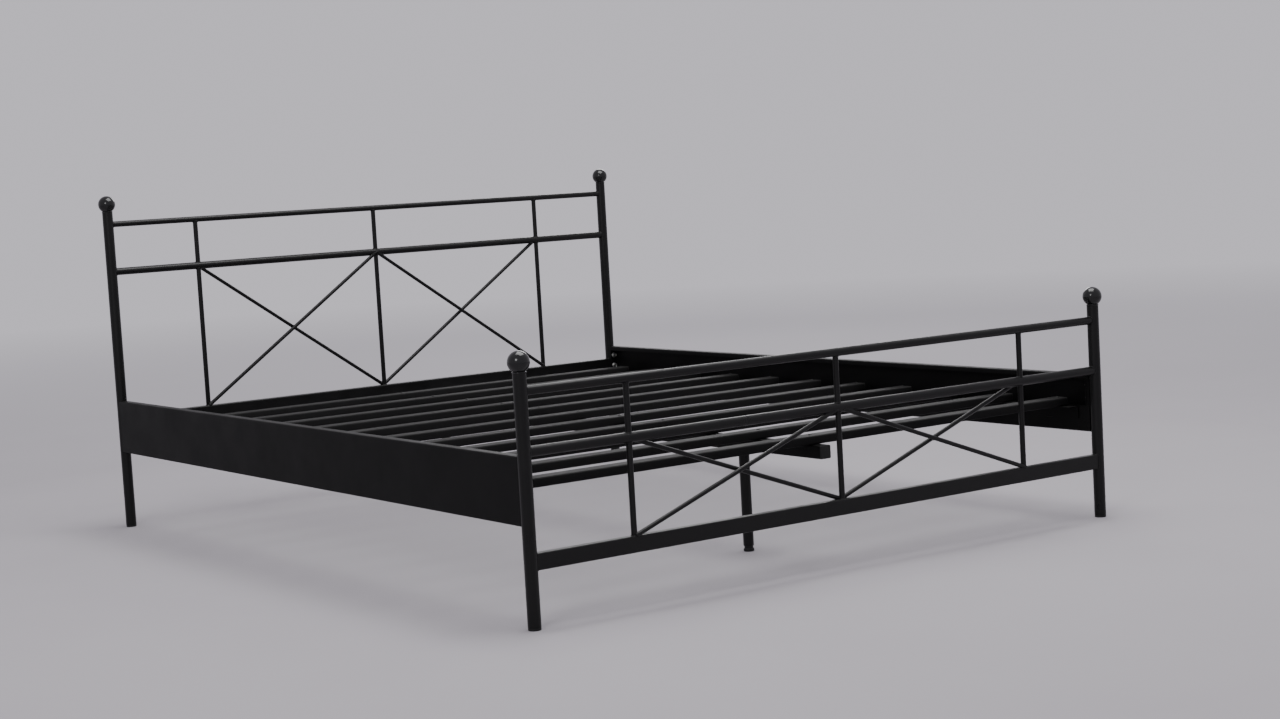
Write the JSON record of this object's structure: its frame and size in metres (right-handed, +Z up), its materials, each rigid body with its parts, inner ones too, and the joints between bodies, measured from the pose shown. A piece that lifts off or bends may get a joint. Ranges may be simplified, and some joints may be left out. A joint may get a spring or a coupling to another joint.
{
  "type": "metal bed frame",
  "caption": "Double bed frame of black steel tube with ball finials, crossed-rod head and foot boards, deep side rails, a centre beam on levelling legs and steel slats.",
  "frame": {"origin": "on the floor, under the centre of the bed's bounding box", "axes": "+Z up, +Y from the footboard to the headboard, +X across the bed towards the right-hand side rail"},
  "size_m": [1.686, 2.106, 0.914],
  "materials": {
    "frame_black": "black powder coat, satin to semi-gloss",
    "finial_gloss": "high-gloss black lacquer",
    "rail_satin": "black powder coat, matt",
    "slat_black": "black powder coat, matt",
    "black_plastic": "moulded black plastic, fine texture",
    "zinc_steel": "bright zinc plate"
  },
  "bodies": {
    "frame": {"head_post_left": "frame_black", "head_finial_left": "finial_gloss", "head_glide_left": "black_plastic", "head_post_right": "frame_black", "head_finial_right": "finial_gloss", "head_glide_right": "black_plastic", "head_top_rail": "frame_black", "head_middle_rail": "frame_black", "head_lower_rail": "frame_black", "head_bar_left": "frame_black", "head_bar_centre": "frame_black", "head_bar_right": "frame_black", "head_rod_left_inner": "frame_black", "head_rod_left_outer": "frame_black", "head_rod_right_inner": "frame_black", "head_rod_right_outer": "frame_black", "foot_post_left": "frame_black", "foot_finial_left": "finial_gloss", "foot_glide_left": "black_plastic", "foot_post_right": "frame_black", "foot_finial_right": "finial_gloss", "foot_glide_right": "black_plastic", "foot_top_rail": "frame_black", "foot_middle_rail": "frame_black", "foot_lower_rail": "frame_black", "foot_bar_left": "frame_black", "foot_bar_centre": "frame_black", "foot_bar_right": "frame_black", "foot_rod_left_inner": "frame_black", "foot_rod_left_outer": "frame_black", "foot_rod_right_inner": "frame_black", "foot_rod_right_outer": "frame_black", "side_rail_left": "rail_satin", "slat_ledge_left": "rail_satin", "side_rail_right": "rail_satin", "slat_ledge_right": "rail_satin", "rail_bolt_head_left_lower": "zinc_steel", "rail_bolt_head_left_upper": "zinc_steel", "rail_bolt_foot_left_lower": "zinc_steel", "rail_bolt_foot_left_upper": "zinc_steel", "rail_bolt_head_right_lower": "zinc_steel", "rail_bolt_head_right_upper": "zinc_steel", "rail_bolt_foot_right_lower": "zinc_steel", "rail_bolt_foot_right_upper": "zinc_steel", "centre_beam": "rail_satin", "centre_leg_head_end": "frame_black", "centre_leg_foot_end": "frame_black", "slat_01": "slat_black", "slat_02": "slat_black", "slat_03": "slat_black", "slat_04": "slat_black", "slat_05": "slat_black", "slat_06": "slat_black", "slat_07": "slat_black", "slat_08": "slat_black", "slat_09": "slat_black", "slat_10": "slat_black", "slat_11": "slat_black"},
    "levelling_foot_head": {"levelling_foot_head_end": "black_plastic"},
    "levelling_foot_foot": {"levelling_foot_foot_end": "black_plastic"}
  },
  "joints": [
    {"name": "level_head_leg", "type": "slide", "parent": "frame", "child": "levelling_foot_head", "axis": [0, 0, 1], "range_m": [-0.008, 0.005]},
    {"name": "level_foot_leg", "type": "slide", "parent": "frame", "child": "levelling_foot_foot", "axis": [0, 0, 1], "range_m": [-0.008, 0.005]}
  ]
}
